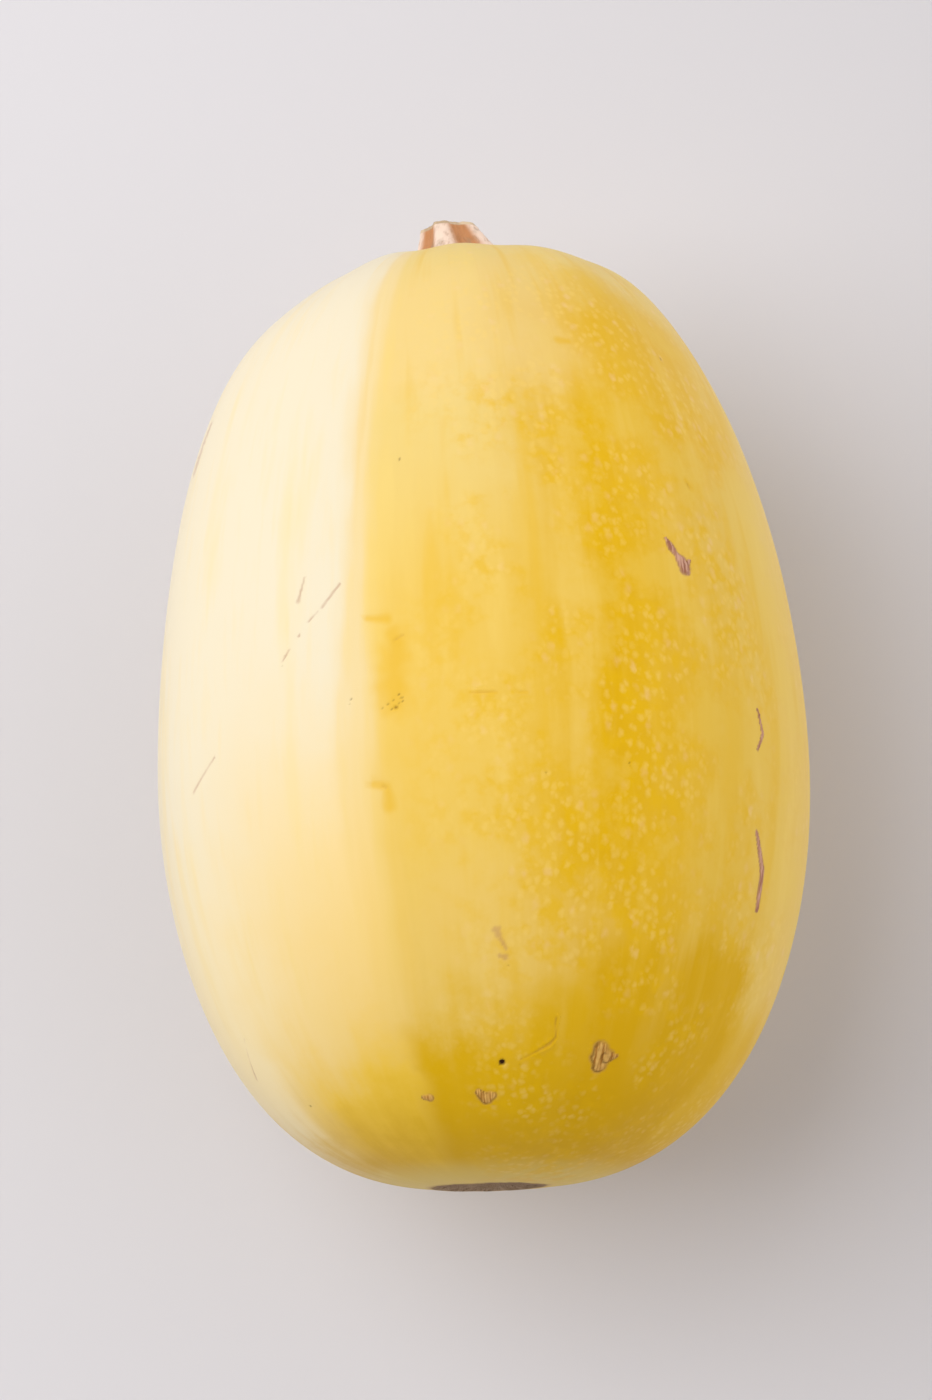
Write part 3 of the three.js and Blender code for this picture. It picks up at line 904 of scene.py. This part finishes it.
fluted = add(stalk, MATH, (distance, flute), operation="MULTIPLY")
foot_fall = add(
    stalk,
    "ShaderNodeMapRange",
    {"Value": up, "From Min": 0.0, "From Max": 0.009, "To Min": 1.0, "To Max": 0.0},
)
foot_fall = add(stalk, MATH, (foot_fall, 2.0), operation="POWER")
foot_side = add(stalk, "ShaderNodeMapRange", {"Value": sine, "From Min": -1.0, "To Min": 0.35})
foot_ridge = add(stalk, MATH, (ridge_share, foot_side), operation="MULTIPLY")
foot = add(stalk, MATH, (foot_fall, foot_ridge), operation="MULTIPLY")
foot = add(stalk, MATH, (foot, size["Foot"]), operation="MULTIPLY")
foot = add(stalk, MATH, (foot, wall_share), operation="MULTIPLY")
radius = add(stalk, MATH, (fluted, fibre), operation="ADD")
radius = add(stalk, MATH, (radius, foot), operation="ADD")
stub_px = add(stalk, MATH, (radius, sine), operation="MULTIPLY")
stub_pz = add(stalk, MATH, (radius, cosine), operation="MULTIPLY")
leant = add(stalk, MATH, (up, size["Lean"]), operation="MULTIPLY")
leant_x = add(stalk, MATH, (stub_px, leant), operation="SUBTRACT")
end_place = add(stalk, "ShaderNodeCombineXYZ", (stub_px, 0.0, stub_pz))
saw_noise = add(stalk, "ShaderNodeTexNoise", {"Vector": end_place, "Scale": 600.0, "Detail": 3.0})
saw = add(stalk, MATH, (saw_noise, size["Saw"]), operation="MULTIPLY")
below_cut = add(stalk, MATH, (up, size["Length"]), operation="SUBTRACT")
at_end = add(stalk, "ShaderNodeMapRange", {"Value": below_cut, "From Min": -0.0012, "From Max": -0.0009})
saw = add(stalk, MATH, (saw, at_end), operation="MULTIPLY")
stub_py = add(stalk, MATH, (up, saw), operation="SUBTRACT")
stub_place = add(stalk, "ShaderNodeCombineXYZ", (leant_x, stub_py, stub_pz))

# %% Keep the ridges and the cut face as attributes, then close the stub
stub = grid
for label, value in (("ridge", ridge_share), ("cut", at_end), ("out", distance)):
    stub = add(
        stalk,
        "GeometryNodeStoreNamedAttribute",
        {"Geometry": stub, "Name": label, "Value": value},
        data_type="FLOAT",
        domain="POINT",
    )
stub = add(stalk, "GeometryNodeSetPosition", {"Geometry": stub, "Position": stub_place})
stub = add(stalk, "GeometryNodeMergeByDistance", {"Geometry": stub, "Distance": 0.005 * MM})
stub = add(stalk, "GeometryNodeSetShadeSmooth", {"Geometry": stub})
stub = add(stalk, "GeometryNodeRealizeInstances", {"Geometry": stub})
stem_material = bpy.data.materials.new("Dried corky stalk")
finish_tree(stalk, stub, stem_material)
stem = grow("stem_stub", stalk, stem_sizes)

# %% Set the stub on the fruit's pole
pole = Vector((STEM_OFFSET, rind_sizes["Stem Reach"] - rind_sizes["Stem Dip"], 0))
stem.data.transform(from_fruit @ Matrix.Translation(pole))
work = bmesh.new()
work.from_mesh(stem.data)
bmesh.ops.recalc_face_normals(work, faces=work.faces)
work.to_mesh(stem.data)
work.free()
print("stem:", len(stem.data.polygons), "faces")

# %% Colour the stem: dead cork and fibre with no wax, pale on the ridges and rust brown in the furrows
stem_material, look, surface = new_material("Dried corky stalk")
coords = add(look, "ShaderNodeTexCoord", out="Object")
read = {
    label: add(look, "ShaderNodeAttribute", out="Fac", attribute_name=label)
    for label in ("ridge", "cut", "out")
}
fibres = add(look, "ShaderNodeMapping", {"Vector": coords, "Scale": (1.0, 0.15, 1.0)})
fibre_look = add(look, "ShaderNodeTexNoise", {"Vector": fibres, "Scale": 900.0, "Detail": 3.0})
stains = add(look, "ShaderNodeTexNoise", {"Vector": coords, "Scale": 220.0, "Detail": 3.0})
stem_colour = blend(ramp(read["ridge"], 0.25, 0.9), linear("#BE8355"), linear("#EDD3C0"))
stem_colour = blend(both(ramp(fibre_look, 0.5, 0.72), 0.45), stem_colour, linear("#A4744A"))
stem_colour = blend(both(ramp(stains, 0.56, 0.72), 0.4), stem_colour, linear("#9B8A72"))
out_mm = add(look, MATH, (read["out"], 1000.0), operation="MULTIPLY")
ring = both(ramp(out_mm, 2.2, 3.4), ramp(out_mm, 5.2, 4.0))
end_colour = blend(both(ramp(stains, 0.4, 0.6), 0.5), linear("#D6BE9E"), linear("#9A7B5A"))
end_colour = blend(both(ring, ramp(read["ridge"], 0.3, 0.8)), end_colour, linear("#DCCBA8"))
end_colour = blend(ramp(out_mm, 1.5, 0.6), end_colour, linear("#6B5236"))
colour = blend(read["cut"], stem_colour, end_colour)
look.links.new(colour, surface.inputs["Base Color"])
surface.inputs["Roughness"].default_value = 0.85
surface.inputs["IOR"].default_value = 1.45
bump = add(look, "ShaderNodeBump", {"Height": fibre_look, "Strength": 0.7, "Distance": 0.3 * MM})
look.links.new(bump, surface.inputs["Normal"])

# %% [markdown]
# ## Handing over
# Each piece rides on the fruit's one body, and stands for its solid.

for piece, node, slot in ((squash, "fruit", "rind"), (stem, "stem", "cork")):
    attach(piece, "root")
    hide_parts(node)
